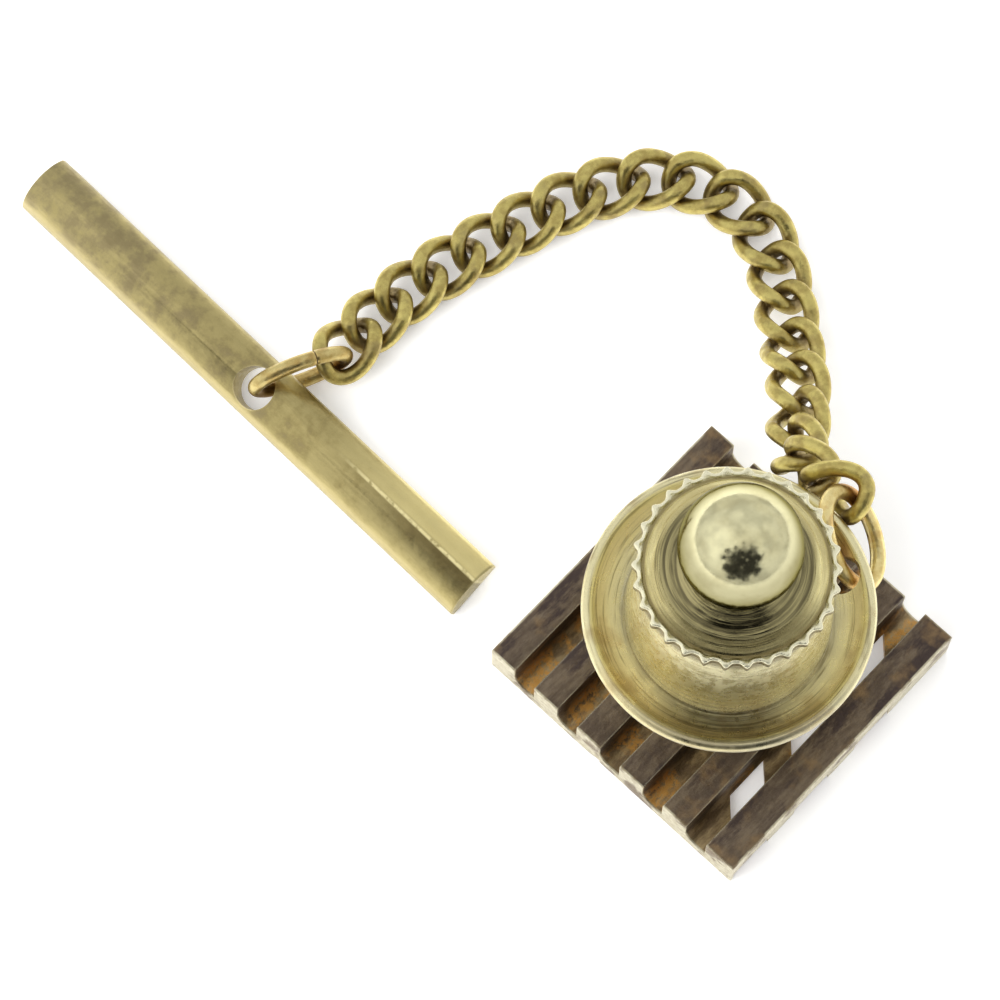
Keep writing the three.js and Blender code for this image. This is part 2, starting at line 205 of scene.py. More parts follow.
def add_hole(piece, centre, radius, depth, segments):
    """A round vertical hole, as a modifier of piece. Returns the drill, for removal once it is applied."""
    bm = bmesh.new()
    bmesh.ops.create_cone(
        bm,
        cap_ends=True,
        segments=segments,
        radius1=radius * MM,
        radius2=radius * MM,
        depth=depth * MM,
        matrix=Matrix.Translation(Vector(centre) * MM),
    )
    mesh = bpy.data.meshes.new("drill")
    bm.to_mesh(mesh)
    bm.free()
    drill = bpy.data.objects.new("drill", mesh)
    SCENE.collection.objects.link(drill)
    hole = piece.modifiers.new("hole", "BOOLEAN")
    hole.object = drill
    hole.operation = "DIFFERENCE"
    return drill


def add_bevel(piece, width, angle):
    """Rounds every edge sharper than angle, in degrees, as a modifier of piece."""
    bevel = piece.modifiers.new("soften", "BEVEL")
    bevel.width = width * MM
    bevel.segments = 3
    bevel.limit_method = "ANGLE"
    bevel.angle_limit = math.radians(angle)
    return bevel


def shade(piece, sharp_angle):
    """Smooth shading, broken at edges sharper than sharp_angle, in degrees."""
    piece.data.polygons.foreach_set("use_smooth", [True] * len(piece.data.polygons))
    piece.data.set_sharp_from_angle(angle=math.radians(sharp_angle))


def rounded(profile, default=0.04, steps=4):
    """A closed [radius, z] outline with its corners rounded; a third number sets a corner's own radius."""
    result = []
    count = len(profile)
    for i, corner in enumerate(profile):
        here = np.array(corner[:2], float)
        before = np.array(profile[i - 1][:2], float)
        after = np.array(profile[(i + 1) % count][:2], float)
        size = corner[2] if len(corner) > 2 else default
        a, b = before - here, after - here
        reach = min(size, 0.45 * np.linalg.norm(a), 0.45 * np.linalg.norm(b))
        on_axis = here[0] < 1e-6
        if reach < 1e-4 or on_axis:
            result.append(tuple(here))
            continue
        start = here + a / np.linalg.norm(a) * reach
        end = here + b / np.linalg.norm(b) * reach
        for k in range(steps + 1):
            t = k / steps
            result.append(tuple((1 - t) ** 2 * start + 2 * t * (1 - t) * here + t * t * end))
    return result


def turned(name, outline, segments=160, ripple=None):
    """A piece of revolution from a closed outline. ripple(r, z, angle) gives a changed radius."""
    points = []
    for r, z in outline:
        for k in range(segments):
            a = TAU * k / segments
            radius = ripple(r, z, a) if ripple else r
            points.append((radius * math.cos(a), radius * math.sin(a), z))
    piece = new_piece(name, points, grid_faces(len(outline), segments, True, True))
    fix_normals(piece)
    return piece


def arc(centre_r, centre_z, radius, start, end, steps):
    """Points of an arc in the [radius, z] plane, from start to end in degrees; corners stay sharp."""
    angles = [math.radians(start + (end - start) * i / steps) for i in range(steps + 1)]
    return [(centre_r + radius * math.cos(a), centre_z + radius * math.sin(a), 0.0) for a in angles]


def even_loop(points, count):
    """The closed path resampled to count points at equal distances."""
    closed = np.vstack([points, points[:1]])
    steps = np.linalg.norm(np.diff(closed, axis=0), axis=1)
    along = np.concatenate([[0], np.cumsum(steps)])
    wanted = np.linspace(0, along[-1], count, endpoint=False)
    return np.column_stack([np.interp(wanted, along, closed[:, k]) for k in range(3)])


def swept(name, path, radius, sides=16, closed=True, shape=None):
    """A wire along path. radius is a number or one for each point; shape(points) may press the surface."""
    path = np.asarray(path, float)
    count = len(path)
    if closed:
        tangent = np.roll(path, -1, 0) - np.roll(path, 1, 0)
    else:
        tangent = np.gradient(path, axis=0)
    tangent /= np.linalg.norm(tangent, axis=1)[:, None]
    normal = np.cross(tangent[0], [0.31, 0.22, 0.92])
    normal /= np.linalg.norm(normal)
    normals = [normal]
    for k in range(1, count):
        normal = normal - tangent[k] * (normal @ tangent[k])
        normal /= np.linalg.norm(normal)
        normals.append(normal)
    normals = np.array(normals)
    binormals = np.cross(tangent, normals)
    slip = 0.0
    if closed:
        last = normals[-1] - tangent[0] * (normals[-1] @ tangent[0])
        slip = math.atan2(last @ binormals[0], last @ normals[0])
    radii = np.broadcast_to(np.asarray(radius, float), (count,))
    angle = TAU * np.arange(sides) / sides
    turn = -slip * np.arange(count) / count
    phase = angle[None, :] + turn[:, None]
    ring = (
        np.cos(phase)[:, :, None] * normals[:, None, :]
        + np.sin(phase)[:, :, None] * binormals[:, None, :]
    )
    points = (path[:, None, :] + radii[:, None, None] * ring).reshape(-1, 3)
    if shape is not None:
        points = shape(points)
    faces = grid_faces(count, sides, closed, True)
    if not closed:
        faces.append(tuple(range(sides)))
        faces.append(tuple(range(count * sides - sides, count * sides)))
    piece = new_piece(name, points, faces)
    fix_normals(piece)
    return piece


def basis(centre, u, v):
    """The matrix whose X runs along u and whose Y lies nearest to v, in metres."""
    x = Vector(u).normalized()
    z = x.cross(Vector(v)).normalized()
    y = z.cross(x)
    turn = Matrix((x, y, z)).transposed().to_4x4()
    return Matrix.Translation(Vector(centre) * MM) @ turn


def settle(piece, body, node, material):
    """Gives a piece its material and its body, and puts it in the place of a CAD node."""
    piece.data.materials.clear()
    piece.data.materials.append(material)
    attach(piece, body)
    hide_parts(node)


# ---------- material helpers ----------
class Graph:
    """Short names for the shader nodes used here."""

    def __init__(self, name):
        self.material = bpy.data.materials.new(name)
        self.material.use_nodes = True
        self.tree = self.material.node_tree
        self.shader = self.tree.nodes["Principled BSDF"]
        self.coords = self.tree.nodes.new("ShaderNodeTexCoord").outputs["Object"]

    def node(self, kind, inputs, **settings):
        node = self.tree.nodes.new(kind)
        for key, value in settings.items():
            setattr(node, key, value)
        for key, value in inputs.items():
            self.put(node.inputs[key], value)
        return node

    def put(self, socket, value):
        if isinstance(value, bpy.types.NodeSocket):
            self.tree.links.new(value, socket)
        elif isinstance(value, tuple) and len(value) == 3 and socket.type == "RGBA":
            socket.default_value = (*value, 1.0)
        else:
            socket.default_value = value

    def noise(self, size, detail=3.0, rough=0.55, vector=None):
        """Noise from 0 to 1 whose patches are about size millimetres across."""
        inputs = {
            "Vector": vector or self.coords,
            "Scale": 1 / (size * MM),
            "Detail": detail,
            "Roughness": rough,
        }
        return self.node("ShaderNodeTexNoise", inputs).outputs["Fac"]

    def span(self, value, low, high, out_low=0.0, out_high=1.0, smooth=True):
        """Maps low..high to out_low..out_high and holds it there outside; low may be above high."""
        inputs = {
            "Value": value,
            "From Min": low,
            "From Max": high,
            "To Min": out_low,
            "To Max": out_high,
        }
        kind = "SMOOTHSTEP" if smooth else "LINEAR"
        return self.node("ShaderNodeMapRange", inputs, interpolation_type=kind).outputs["Result"]

    def math(self, operation, a, b=0.0, clamp=False):
        inputs = {0: a, 1: b}
        node = self.node("ShaderNodeMath", inputs, operation=operation, use_clamp=clamp)
        return node.outputs[0]

    def mix(self, factor, a, b):
        """Colour a where factor is 0 and colour b where it is 1."""
        inputs = {0: factor, 6: a, 7: b}
        node = self.node("ShaderNodeMix", inputs, data_type="RGBA", blend_type="MIX")
        return node.outputs[2]

    def lay(self, colour, mask, share, over):
        """colour with another laid over it where mask is 1; share is how much it covers."""
        return self.mix(self.math("MULTIPLY", mask, share), colour, over)

    def ramp(self, factor, stops):
        node = self.node("ShaderNodeValToRGB", {"Fac": factor})
        elements = node.color_ramp.elements
        while len(elements) < len(stops):
            elements.new(0.5)
        for element, (place, colour) in zip(elements, stops):
            element.position = place
            element.color = (*colour, 1.0)
        return node.outputs["Color"]

    def xyz(self, vector=None):
        outputs = self.node("ShaderNodeSeparateXYZ", {"Vector": vector or self.coords}).outputs
        return outputs["X"], outputs["Y"], outputs["Z"]

    def combine(self, x, y, z):
        return self.node("ShaderNodeCombineXYZ", {"X": x, "Y": y, "Z": z}).outputs["Vector"]

    def crevice(self, distance, low=0.35, high=0.95):
        """1 deep in crevices, 0 in the open."""
        inputs = {"Distance": distance * MM}
        node = self.node("ShaderNodeAmbientOcclusion", inputs, samples=8)
        return self.span(node.outputs["AO"], low, high, 1.0, 0.0)

    def edges(self, radius, low=0.02, high=0.25):
        """1 along sharp edges, from how far a rounded normal turns."""
        rounded_normal = self.node("ShaderNodeBevel", {"Radius": radius * MM}, samples=6).outputs[0]
        plain = self.node("ShaderNodeNewGeometry", {}).outputs["Normal"]
        dot = self.node("ShaderNodeVectorMath", {0: rounded_normal, 1: plain}, operation="DOT_PRODUCT")
        return self.span(dot.outputs["Value"], 1 - low, 1 - high)

    def turning(self, radial, axial, pitch, sweep=0.8):
        """Noise drawn out round the Z axis, as lathe marks are, with lines about pitch apart."""
        x, y, z = self.xyz()
        flat = self.combine(x, y, 0.0)
        radius = self.node("ShaderNodeVectorMath", {0: flat}, operation="LENGTH").outputs["Value"]
        unit = self.node("ShaderNodeVectorMath", {0: flat}, operation="NORMALIZE").outputs["Vector"]
        ux, uy, _ = self.xyz(unit)
        along = self.math("ADD", self.math("MULTIPLY", radius, radial), self.math("MULTIPLY", z, axial))
        height = self.math("MULTIPLY", along, 1 / (pitch * MM))
        ring = self.combine(self.math("MULTIPLY", ux, sweep), self.math("MULTIPLY", uy, sweep), height)
        inputs = {"Vector": ring, "Scale": 1.0, "Detail": 3.0, "Roughness": 0.6}
        return self.node("ShaderNodeTexNoise", inputs).outputs["Fac"]

    def bump(self, height, depth, normal=None):
        """The normal of a surface raised by height times depth, in millimetres."""
        inputs = {"Height": height, "Distance": depth * MM, "Strength": 1.0}
        if normal is not None:
            inputs["Normal"] = normal
        return self.node("ShaderNodeBump", inputs).outputs["Normal"]

    def close(self, colour, roughness, normal, metallic=1.0):
        self.put(self.shader.inputs["Base Color"], colour)
        self.put(self.shader.inputs["Roughness"], roughness)
        self.put(self.shader.inputs["Normal"], normal)
        self.put(self.shader.inputs["Metallic"], metallic)
        return self.material


def spots(graph, size, share, reach=0.3):
    """1 in scattered round spots: share of the cells, each size millimetres wide, holds one."""
    cells = graph.node("ShaderNodeTexVoronoi", {"Scale": 1 / (size * MM)})
    chosen, amount, _ = graph.xyz(cells.outputs["Color"])
    here = graph.math("LESS_THAN", chosen, share)
    edge = graph.math("MULTIPLY", graph.math("ADD", amount, 0.4), reach)
    inside = graph.math("SUBTRACT", edge, cells.outputs["Distance"])
    return graph.math("MULTIPLY", graph.span(inside, 0.0, 0.1), here)


def axis_radius(graph):
    """Distance from the pin's axis, in metres."""
    x, y, _ = graph.xyz()
    flat = graph.combine(x, y, 0.0)
    return graph.node("ShaderNodeVectorMath", {0: flat}, operation="LENGTH").outputs["Value"]


def barrel_material():
    """Pale gold plating: turned lines, more of them near the foot, with a painted shadow under the cap's
    rim and painted shade in the crevices.
    """
    g = Graph("barrel_gold")
    _, _, z = g.xyz()
    marks = g.turning(0.0, 1.0, 0.17)
    # painted shadow: the barrel darkened just under the cap's rim
    shadow_under_rim = g.span(z, (BARREL_TOP_Z - 0.7) * MM, (BARREL_TOP_Z - 0.05) * MM)
    near_foot = g.span(z, (FLOOR_Z + 2.37) * MM, (FLOOR_Z + 0.57) * MM)
    plating = g.span(g.noise(1.4, detail=4), 0.4, 0.7)
    colour = g.mix(plating, (0.9, 0.84, 0.53), (0.8, 0.73, 0.43))
    line_share = g.math("ADD", g.math("MULTIPLY", near_foot, 0.45), 0.1)
    colour = g.lay(colour, g.span(marks, 0.56, 0.7), line_share, (0.34, 0.27, 0.12))
    # painted shade: darker in the crevices, at the foot and under the cap
    colour = g.lay(colour, g.crevice(0.4, 0.3, 0.8), 0.4, (0.24, 0.19, 0.09))
    colour = g.lay(colour, shadow_under_rim, 0.85, (0.16, 0.12, 0.05))
    colour = g.lay(colour, spots(g, 0.3, 0.2), 0.5, (0.3, 0.2, 0.07))
    rough = g.span(g.noise(0.4), 0.3, 0.75, 0.22, 0.34)
    return g.close(colour, rough, g.bump(marks, 0.01))


def cap_material():
    """The scalloped cap: golden turned cone with painted shade on one side, near the neck under the ball
    and in the groove inside the rim; a bright crest, partly worn, partly painted highlight.
    """
    g = Graph("cap_gold")
    x, y, z = g.xyz()
    radius = axis_radius(g)
    marks = g.turning(1.0, 0.4, 0.075)
    broad = g.turning(1.0, 0.4, 0.3, sweep=1.2)
    colour = g.mix(g.span(broad, 0.36, 0.66), (0.66, 0.57, 0.27), (1.0, 0.9, 0.46))
    # painted shade: one side of the cap darkened, as if turned from the light
    shaded_side = g.span(g.math("ADD", x, y), -1.2 * MM, -3.4 * MM)
    colour = g.lay(colour, shaded_side, 0.82, (0.17, 0.14, 0.06))
    # painted shade: the cone darkened near the neck, under the ball
    near_neck = g.span(radius, (CAP_OPENING + 0.39) * MM, (CAP_OPENING + 0.04) * MM)
    colour = g.lay(colour, near_neck, 0.55, (0.15, 0.13, 0.06))
    colour = g.lay(colour, g.span(marks, 0.58, 0.68), 0.6, (0.14, 0.11, 0.04))
    # painted shade: the groove inside the scalloped rim darkened
    rim = g.span(radius, (CAP_RADIUS - 0.4) * MM, (CAP_RADIUS - 0.32) * MM)
    colour = g.lay(colour, rim, 0.85, (0.24, 0.19, 0.08))
    colour = g.lay(colour, spots(g, 0.2, 0.3), 0.6, (0.16, 0.11, 0.04))
    # worn crest with a painted highlight: near white along the rim's top
    high = g.span(z, (CAP_TOP_Z - 0.075) * MM, (CAP_TOP_Z - 0.04) * MM)
    outer = g.span(radius, (CAP_RADIUS - 0.28) * MM, (CAP_RADIUS - 0.2) * MM)
    colour = g.lay(colour, g.math("MULTIPLY", high, outer), 0.9, (1.0, 0.96, 0.7))
    rough = g.span(g.noise(0.4), 0.3, 0.75, 0.2, 0.36)
    normal = g.bump(marks, 0.03)
    normal = g.bump(g.noise(0.35, detail=3), 0.012, normal=normal)
    return g.close(colour, rough, normal)


def flange_bands(g):
    """The dish's colours from the barrel's foot out to the bead, with wandering edges."""
    wander = g.math("MULTIPLY", g.math("SUBTRACT", g.noise(2.2, detail=4), 0.5), 0.3 * MM)
    outwards = g.math("ADD", axis_radius(g), wander)
    place = g.span(outwards, 3.8 * MM, (FLANGE_RADIUS + 0.1) * MM, smooth=False)
    return g.ramp(place, [
        (0.0, (0.58, 0.52, 0.34)),
        (0.1, (0.64, 0.6, 0.42)),
        (0.2, (0.78, 0.73, 0.52)),
        (0.4, (0.88, 0.81, 0.56)),
        (0.5, (0.84, 0.75, 0.5)),
        (0.62, (0.88, 0.79, 0.53)),
        (0.72, (0.86, 0.79, 0.47)),
        (1.0, (0.84, 0.77, 0.46)),
    ])


def flange_material():
    """The dish: grey valley, warm band and pale bead, with turned streaks and brown spots, and painted
    shade with dark arcs on one side.
    """
    g = Graph("flange_gold")
    x, y, _ = g.xyz()
    streak = g.turning(1.0, 1.0, 0.08)
    broad = g.turning(1.0, 1.0, 0.16, sweep=1.6)
    colour = g.lay(flange_bands(g), g.span(broad, 0.52, 0.68), 0.6, (0.15, 0.11, 0.05))
    colour = g.lay(colour, g.span(streak, 0.58, 0.7), 0.5, (0.12, 0.09, 0.04))
    patches = g.span(g.noise(1.8, detail=5), 0.52, 0.68)
    colour = g.lay(colour, patches, 0.45, (0.46, 0.32, 0.14))
    copper_side = g.math("MULTIPLY", g.span(x, -3.2 * MM, -4.4 * MM), g.span(y, 2.6 * MM, 1.2 * MM))
    colour = g.lay(colour, copper_side, 0.2, (0.8, 0.6, 0.24))
    # painted shade: one side of the dish darkened, with dark arcs laid over it
    shaded_side = g.span(g.math("ADD", x, y), -3.6 * MM, -6.4 * MM)
    colour = g.lay(colour, shaded_side, 0.2, (0.3, 0.25, 0.16))
    arcs = g.span(g.turning(1.0, 1.0, 0.1, sweep=0.7), 0.46, 0.6)
    colour = g.lay(colour, g.math("MULTIPLY", arcs, shaded_side), 0.5, (0.26, 0.23, 0.18))
    colour = g.lay(colour, spots(g, 0.34, 0.45, 0.34), 0.8, (0.1, 0.055, 0.025))
    colour = g.lay(colour, g.edges(0.1, 0.03, 0.25), 0.5, (0.85, 0.8, 0.56))
    rough = g.span(g.noise(0.5), 0.3, 0.7, 0.24, 0.42)
    normal = g.bump(streak, 0.014)
    normal = g.bump(g.noise(0.5, detail=3), 0.015, normal=normal)
    return g.close(colour, rough, normal)


def knob_material():
    """Worn polished metal, pale silvery green, with painted shade: lighter on the ball's top, darker on its
    flanks, dark in the turned neck.
    """
    g = Graph("knob_polish")
    _, _, z = g.xyz()
    ball = g.span(z, 12.95 * MM, 13.3 * MM)
    marks = g.turning(1.0, 1.0, 0.08)
    worn = g.span(g.noise(1.1, detail=5), 0.42, 0.7)
    # painted light and shade: a lighter top and darker flanks of the same worn metal
    top = g.mix(worn, (0.76, 0.72, 0.44), (0.67, 0.62, 0.36))
    flanks = g.mix(worn, (0.42, 0.39, 0.23), (0.35, 0.32, 0.18))
    worn_tone_and_shade = g.mix(g.span(z, (KNOB_Z + 0.99) * MM, (KNOB_Z + 1.79) * MM), flanks, top)
    # painted shade: the turned neck under the ball painted dark
    neck = g.mix(g.span(marks, 0.35, 0.65), (0.14, 0.12, 0.06), (0.4, 0.35, 0.17))
    colour = g.mix(ball, neck, worn_tone_and_shade)
    colour = g.lay(colour, spots(g, 0.22, 0.3), 0.35, (0.3, 0.26, 0.14))
    rough = g.span(g.noise(0.25, detail=6), 0.35, 0.75, 0.1, 0.22)
    neck_marks = g.math("MULTIPLY", marks, g.math("SUBTRACT", 1.0, ball))
    normal = g.bump(neck_marks, 0.03)
    normal = g.bump(g.noise(0.5, detail=3), 0.006, normal=normal)
    g.put(g.shader.inputs["Specular Tint"], (0.36, 0.34, 0.24))
    return g.close(colour, rough, normal)


def casting_material():
    """Dark tarnished casting: streaked brown-grey rib tops, rusty groove floors, silvery side walls."""
    g = Graph("casting_tarnish")
    x, y, z = g.xyz()
    outer = g.math("MAXIMUM", g.math("ABSOLUTE", x), g.math("ABSOLUTE", y))
    wall = g.span(outer, (PLATE_HALF - 0.1) * MM, (PLATE_HALF - 0.04) * MM)
    top = g.span(z, (PLATE_THICK - 0.12) * MM, (PLATE_THICK - 0.05) * MM)
    floor = g.span(z, (SKIN_THICK + 0.55) * MM, (SKIN_THICK + 0.05) * MM)
    grain = g.noise(0.22, detail=6, rough=0.7)
    clouds = g.noise(1.3, detail=4)
    along = g.combine(g.math("MULTIPLY", x, 0.3), y, z)
    streaks = g.noise(0.45, detail=6, rough=0.7, vector=along)
    stains = g.noise(1.1, detail=6, rough=0.68, vector=along)
    top_colour = g.mix(g.span(streaks, 0.36, 0.66), (0.12, 0.09, 0.065), (0.22, 0.17, 0.115))
    top_colour = g.mix(g.span(stains, 0.48, 0.6), top_colour, (0.075, 0.055, 0.048))
    top_colour = g.lay(top_colour, g.span(clouds, 0.52, 0.7), 0.7, (0.3, 0.2, 0.1))
    floor_colour = g.mix(g.span(streaks, 0.38, 0.66), (0.2, 0.14, 0.075), (0.48, 0.36, 0.19))
    rust = g.math("MULTIPLY", g.span(clouds, 0.46, 0.58), g.span(grain, 0.38, 0.56))
    floor_colour = g.mix(rust, floor_colour, (0.66, 0.36, 0.1))
    side_colour = g.mix(g.span(streaks, 0.35, 0.7), (0.09, 0.065, 0.045), (0.26, 0.19, 0.12))
    colour = g.mix(floor, side_colour, floor_colour)
    colour = g.mix(top, colour, top_colour)
    bright = g.mix(g.span(grain, 0.3, 0.72), (0.72, 0.67, 0.5), (0.52, 0.46, 0.32))
    bright = g.mix(g.span(clouds, 0.5, 0.62), bright, (0.24, 0.18, 0.11))
    colour = g.mix(wall, colour, bright)
    worn = g.math("MULTIPLY", g.edges(0.12), g.span(g.noise(0.6, detail=4), 0.27, 0.48))
    exposed = g.span(g.crevice(1.2), 0.5, 0.1)
    worn = g.math("MULTIPLY", worn, exposed, clamp=True)
    colour = g.mix(worn, colour, (0.78, 0.72, 0.5))
    rough = g.span(grain, 0.3, 0.75, 0.34, 0.56)
    rough = g.math("SUBTRACT", rough, g.math("MULTIPLY", worn, 0.12))
    normal = g.bump(grain, 0.04)
    normal = g.bump(g.noise(0.9, detail=2), 0.06, normal=normal)
    return g.close(colour, rough, normal, metallic=0.88)


def chain_material(name, bright, deep, dirt_and_shade_colour, dirt_and_shade_share=0.9):
    """Worn brass wire: mottled, brown in the crevices from dirt and painted shade, nicked, with a satin
    surface.
    """
    g = Graph(name)
    patches = g.noise(0.55, detail=5, rough=0.65)
    colour = g.mix(g.span(patches, 0.38, 0.64), bright, deep)
    # crevice darkening: partly dirt, partly painted shade between the links
    colour = g.lay(colour, g.crevice(0.7, 0.35, 0.98), dirt_and_shade_share, dirt_and_shade_colour)
    colour = g.lay(colour, g.span(g.noise(0.9, detail=5), 0.52, 0.7), 0.5, dirt_and_shade_colour)
    colour = g.lay(colour, spots(g, 0.3, 0.35), 0.65, (0.13, 0.08, 0.03))
    rough = g.span(g.noise(0.3, detail=4), 0.3, 0.7, 0.28, 0.46)
    normal = g.bump(g.noise(0.28, detail=4), 0.035)
    normal = g.bump(g.noise(0.9, detail=1), 0.05, normal=normal)
    return g.close(colour, rough, normal)


def bar_side(g):
    """How far a point lies from the bar's middle line, across its own tilted width, in metres."""
    x, y, z = g.xyz()
    drift = g.math("MULTIPLY", g.math("SUBTRACT", y, BAR_CENTRE[1] * MM), math.tan(-BAR_HEADING))
    across = g.math("SUBTRACT", g.math("SUBTRACT", x, BAR_CENTRE[0] * MM), drift)
    height = g.math("SUBTRACT", z, BAR_BASE_Z * MM)
    level_part = g.math("MULTIPLY", across, math.cos(BAR_ROLL))
    upright_part = g.math("MULTIPLY", height, -math.sin(BAR_ROLL))
    return g.math("ADD", level_part, upright_part)


def bar_material():
    """Satin brass bar: grey-brown tarnish towards the far end, with painted light and shade: a golden
    highlight along the crest, a lit face beside it, a shaded band, a light far edge, a dark hole and end
    face.
    """
    g = Graph("bar_satin")
    x, y, z = g.xyz()
    side = bar_side(g)
    from_end = g.math("SUBTRACT", y, BAR_NEAR_END * MM)
    crest = 0.45 * MM
    stretched = g.combine(x, g.math("MULTIPLY", y, 0.12), z)
    scratches = g.noise(0.12, detail=4, vector=stretched)
    clouds = g.noise(1.2, detail=6, rough=0.7)
    colour = g.mix(g.span(clouds, 0.4, 0.68), (0.49, 0.41, 0.18), (0.37, 0.3, 0.12))
    far_end = g.math("MULTIPLY", g.span(from_end, 6.39 * MM, 24.39 * MM), 0.22)
    tarnish = g.span(g.math("ADD", clouds, far_end), 0.55, 0.78)
    colour = g.lay(colour, tarnish, 0.45, (0.28, 0.23, 0.15))
    # painted highlight: a light strip along the bar's far edge
    colour = g.lay(colour, g.span(side, -0.8 * MM, -1.05 * MM), 0.7, (0.66, 0.56, 0.28))
    # painted shade: a dark band beside the crest, strongest towards the near end
    shade_beside_crest = g.math("MULTIPLY", g.span(side, 0.42 * MM, 0.34 * MM), g.span(side, -0.6 * MM, 0.3 * MM))
    shade_beside_crest = g.math("MULTIPLY", shade_beside_crest, g.span(from_end, 8.39 * MM, 0.79 * MM))
    colour = g.lay(colour, shade_beside_crest, 0.8, (0.12, 0.09, 0.035))
    # painted shade: darker inside the hole and other crevices
    colour = g.lay(colour, g.crevice(0.8, 0.3, 0.85), 0.7, (0.2, 0.15, 0.08))
    # painted light: the face beside the crest lighter towards the near end
    lit_face = g.math("MULTIPLY", g.span(side, crest, 0.6 * MM), g.span(from_end, 9.39 * MM, 3.39 * MM))
    colour = g.lay(colour, lit_face, 0.75, (0.86, 0.74, 0.34))
    # painted highlight: a broken golden glint along the crest near the end
    off_crest = g.math("ABSOLUTE", g.math("SUBTRACT", side, crest))
    near_end = g.span(from_end, 7.79 * MM, 5.39 * MM)
    line = g.math("MULTIPLY", g.span(off_crest, 0.1 * MM, 0.02 * MM), near_end)
    glint = g.math("MULTIPLY", line, g.span(g.noise(0.3, detail=6), 0.3, 0.56))
    colour = g.mix(glint, colour, (1.0, 0.88, 0.46))
    # painted shade: the bar's end face darker
    colour = g.lay(colour, g.span(from_end, 0.14 * MM, 0.04 * MM), 0.7, (0.3, 0.25, 0.11))
    colour = g.lay(colour, spots(g, 0.4, 0.3), 0.5, (0.2, 0.13, 0.05))
    colour = g.lay(colour, g.edges(0.12), 0.6, (0.8, 0.7, 0.4))
    rough = g.span(scratches, 0.3, 0.7, 0.28, 0.46)
    normal = g.bump(scratches, 0.008)
    normal = g.bump(g.noise(0.4, detail=3), 0.02, normal=normal)
    return g.close(colour, rough, normal)


def steel_material(name="steel_plain", bright=(0.72, 0.71, 0.68)):
    """Plain turned steel, for the pin and the lock inside the clutch."""
    g = Graph(name)
    grain = g.noise(0.2, detail=4)
    colour = g.mix(g.span(grain, 0.35, 0.7), bright, (0.6, 0.58, 0.54))
    rough = g.span(grain, 0.3, 0.7, 0.22, 0.36)
    return g.close(colour, rough, g.bump(g.turning(1.0, 1.0, 0.05), 0.006))


# ---------- ornament ----------
def make_ornament(material):
    """The CAD plate with its flat faces merged and every edge softened."""
    mesh = frame["nodes"]["front_plate"].data.copy()
    piece = bpy.data.objects.new("ornament", mesh)
    SCENE.collection.objects.link(piece)
    bm = bmesh.new()
    bm.from_mesh(mesh)
    bmesh.ops.remove_doubles(bm, verts=bm.verts, dist=1e-7)
    bmesh.ops.dissolve_limit(bm, angle_limit=math.radians(1), verts=bm.verts, edges=bm.edges)
    bm.to_mesh(mesh)
    bm.free()
    add_bevel(piece, 0.07, 35).use_clamp_overlap = True
    apply_modifiers(piece)
    shade(piece, 28)
    settle(piece, "tack", "front_plate", material)


def make_pad(material):
    outline = rounded([
        (0, PLATE_THICK),
        (PAD_RADIUS, PLATE_THICK, 0.02),
        (PAD_RADIUS, PIN_BASE_Z - 0.2, 0.08),
        (PAD_RADIUS - 0.5, PIN_BASE_Z, 0.2),
        (0, PIN_BASE_Z),
    ])
    piece = turned("solder_pad", outline, 96)
    settle(piece, "tack", "pin_pad", material)


def make_pin(material):
    shoulder = PIN_TIP_Z - 1.1
    outline = [(0, PIN_BASE_Z), (PIN_RADIUS, PIN_BASE_Z)]
    for drop in (1.6, 0.6):
        z = shoulder - drop
        outline += [
            (PIN_RADIUS, z - 0.15),
            (PIN_RADIUS - 0.08, z - 0.07),
            (PIN_RADIUS - 0.08, z + 0.07),
            (PIN_RADIUS, z + 0.15),
        ]
    outline += [(PIN_RADIUS, shoulder, 0.3), (PIN_RADIUS * 0.3, PIN_TIP_Z - 0.2, 0.1), (0, PIN_TIP_Z)]
    piece = turned("pin", rounded(outline, 0.03), 48)
    settle(piece, "tack", "tack_pin", material)


# ---------- clutch ----------
def make_bush(material):
    bore = PIN_RADIUS + 0.04
    top = FLOOR_Z + SHEET
    sleeve = FLANGE_BORE - 0.04
    head_radius = 1.1
    head_top = FLOOR_Z - 0.06
    outline = rounded([
        (bore, head_top - 0.24, 0.05),
        (head_radius, head_top - 0.24, 0.08),
        (head_radius, head_top, 0.05),
        (sleeve, head_top, 0.02),
        (sleeve, top, 0.03),
        (bore, top, 0.03),
    ])
    piece = turned("bush", outline, 80)
    settle(piece, "bush", "pin_bush", material)


